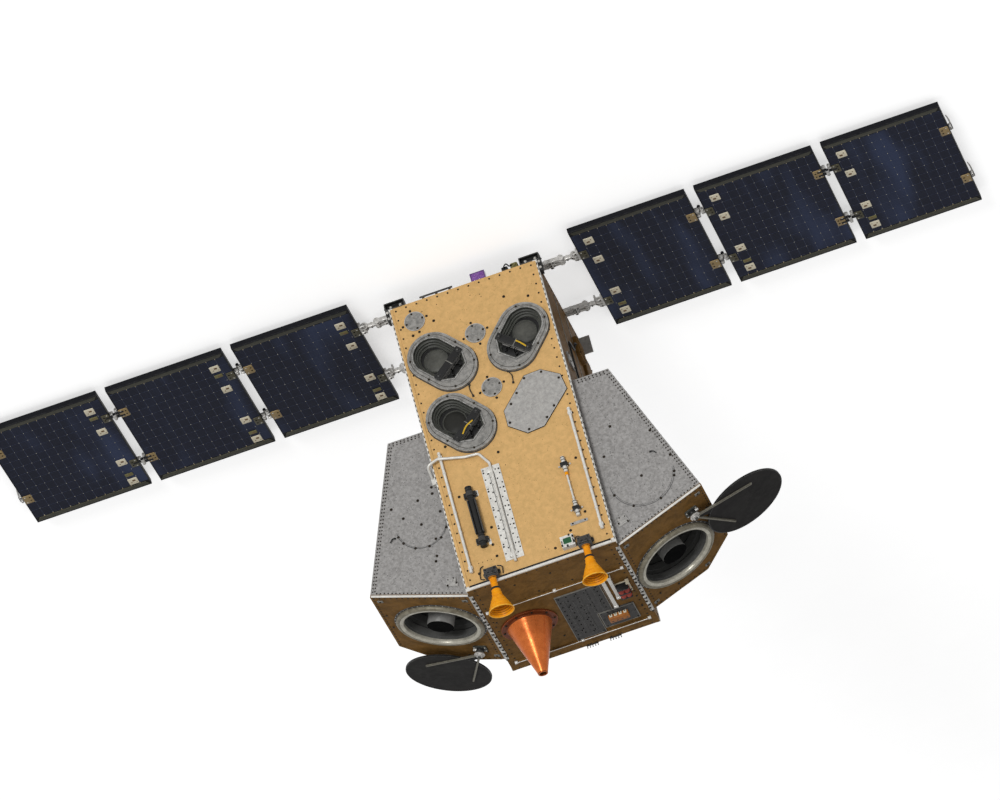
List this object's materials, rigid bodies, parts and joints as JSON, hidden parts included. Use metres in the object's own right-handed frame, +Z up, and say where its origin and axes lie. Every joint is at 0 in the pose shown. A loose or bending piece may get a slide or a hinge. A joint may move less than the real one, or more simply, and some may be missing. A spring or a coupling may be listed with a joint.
{
  "type": "earth observation satellite",
  "caption": "Box-bodied earth observation satellite on an adapter ring, with leaning telescope pods, swinging covers and folding solar wings.",
  "frame": {"origin": "centre of the adapter ring's lower face, where the launcher's ring meets it", "axes": "+Z up from the ring to the instrument end, -Y out of the bus front with the star trackers, +X along the right wing as seen from the front"},
  "size_m": [4.402, 1.0462, 1.77],
  "materials": {
    "solar_panel": "dark blue-black solar cells under cover glass on a carbon board",
    "hinge_metal": "anodised metal, satin",
    "gold_foil_wall": "gold-tan thermal coating, matt, with small rivets",
    "bronze_wall": "bronze-brown thermal coating, satin",
    "grey_wall": "bare grey alloy with a light speckle",
    "telescope_barrel": "machined rim, black inside",
    "telescope_optics": "black baffle tube over a polished mirror",
    "cover_black": "matt black carbon sheet",
    "tracker_grey": "grey flange, black inside",
    "horn_amber": "amber coating",
    "cone_copper": "copper-brown coating",
    "machined_metal": "machined alloy",
    "black_metal": "black anodised",
    "plate_grey": "grey speckled alloy",
    "bright_metal": "bright alloy",
    "reflector_purple": "violet coated glass",
    "relay_red": "red enamel winding",
    "sensor_white": "white box with a green window"
  },
  "bodies": {
    "bus": {"adapter_ring": "machined_metal", "back_panel": "gold_foil_wall", "base_frame": "machined_metal", "bus_floor": "gold_foil_wall", "cone_antenna": "cone_copper", "connector_plate": "black_metal", "corner_angles": "bright_metal", "corner_brackets": "black_metal", "cover_post_left": "hinge_metal", "cover_post_right": "hinge_metal", "disc_plates": "plate_grey", "edge_trims": "bright_metal", "feed_pipe": "bright_metal", "front_panel": "gold_foil_wall", "green_sensor": "sensor_white", "horn_brackets": "hinge_metal", "horn_left": "horn_amber", "horn_right": "horn_amber", "instrument_plate": "plate_grey", "laser_reflector": "reflector_purple", "long_rods": "bright_metal", "octagon_plate": "plate_grey", "perforated_strip": "bright_metal", "pod_end_left": "bronze_wall", "pod_end_right": "bronze_wall", "pod_front_left": "grey_wall", "pod_front_right": "grey_wall", "pod_shell_left": "bronze_wall", "pod_shell_right": "bronze_wall", "relay_coil": "relay_red", "root_bracket_left": "hinge_metal", "root_bracket_right": "hinge_metal", "seam_angles": "machined_metal", "sensor_rod": "bright_metal", "side_panel_left": "bronze_wall", "side_panel_right": "bronze_wall", "side_plate": "machined_metal", "star_tracker_a": "tracker_grey", "star_tracker_b": "tracker_grey", "star_tracker_c": "tracker_grey", "telescope_barrel_left": "telescope_barrel", "telescope_barrel_right": "telescope_barrel", "telescope_optics_left": "telescope_optics", "telescope_optics_right": "telescope_optics", "top_bars": "bright_metal", "top_panel": "bronze_wall", "top_rails": "bright_metal", "torque_rod": "black_metal"},
    "wing_right_1": {"solar_panel_right_1": "solar_panel", "yoke_right": "hinge_metal"},
    "wing_right_2": {"solar_panel_right_2": "solar_panel"},
    "wing_right_3": {"solar_panel_right_3": "solar_panel"},
    "cover_right": {"cover_right": "cover_black"},
    "wing_left_1": {"solar_panel_left_1": "solar_panel", "yoke_left": "hinge_metal"},
    "wing_left_2": {"solar_panel_left_2": "solar_panel"},
    "wing_left_3": {"solar_panel_left_3": "solar_panel"},
    "cover_left": {"cover_left": "cover_black"}
  },
  "joints": [
    {"name": "wing_right_root", "type": "hinge", "parent": "bus", "child": "wing_right_1", "pos_m": [0.42, 0, 0.038], "axis": [0, -1, 0], "range_deg": [0, 90]},
    {"name": "wing_right_fold_a", "type": "hinge", "parent": "wing_right_1", "child": "wing_right_2", "pos_m": [1.056, 0, 0.02], "axis": [0, 1, 0], "range_deg": [0, 180]},
    {"name": "wing_right_fold_b", "type": "hinge", "parent": "wing_right_2", "child": "wing_right_3", "pos_m": [1.631, 0, 0.056], "axis": [0, -1, 0], "range_deg": [0, 180]},
    {"name": "wing_left_root", "type": "hinge", "parent": "bus", "child": "wing_left_1", "pos_m": [-0.42, 0, 0.038], "axis": [0, 1, 0], "range_deg": [0, 90]},
    {"name": "wing_left_fold_a", "type": "hinge", "parent": "wing_left_1", "child": "wing_left_2", "pos_m": [-1.056, 0, 0.02], "axis": [0, -1, 0], "range_deg": [0, 180]},
    {"name": "wing_left_fold_b", "type": "hinge", "parent": "wing_left_2", "child": "wing_left_3", "pos_m": [-1.631, 0, 0.056], "axis": [0, 1, 0], "range_deg": [0, 180]},
    {"name": "cover_right_swing", "type": "hinge", "parent": "bus", "child": "cover_right", "pos_m": [0.41393, 0.165, 1.49127], "axis": [0.342, 0, 0.9397], "range_deg": [-112, 0]},
    {"name": "cover_left_swing", "type": "hinge", "parent": "bus", "child": "cover_left", "pos_m": [-0.65919, -0.228, 1.402], "axis": [-0.342, 0, 0.9397], "range_deg": [-87, 0]}
  ],
  "couplings": [
    {"joint": "wing_right_fold_a", "follows": "wing_right_root", "ratio": 2},
    {"joint": "wing_right_fold_b", "follows": "wing_right_root", "ratio": 2},
    {"joint": "wing_left_fold_a", "follows": "wing_left_root", "ratio": 2},
    {"joint": "wing_left_fold_b", "follows": "wing_left_root", "ratio": 2}
  ]
}
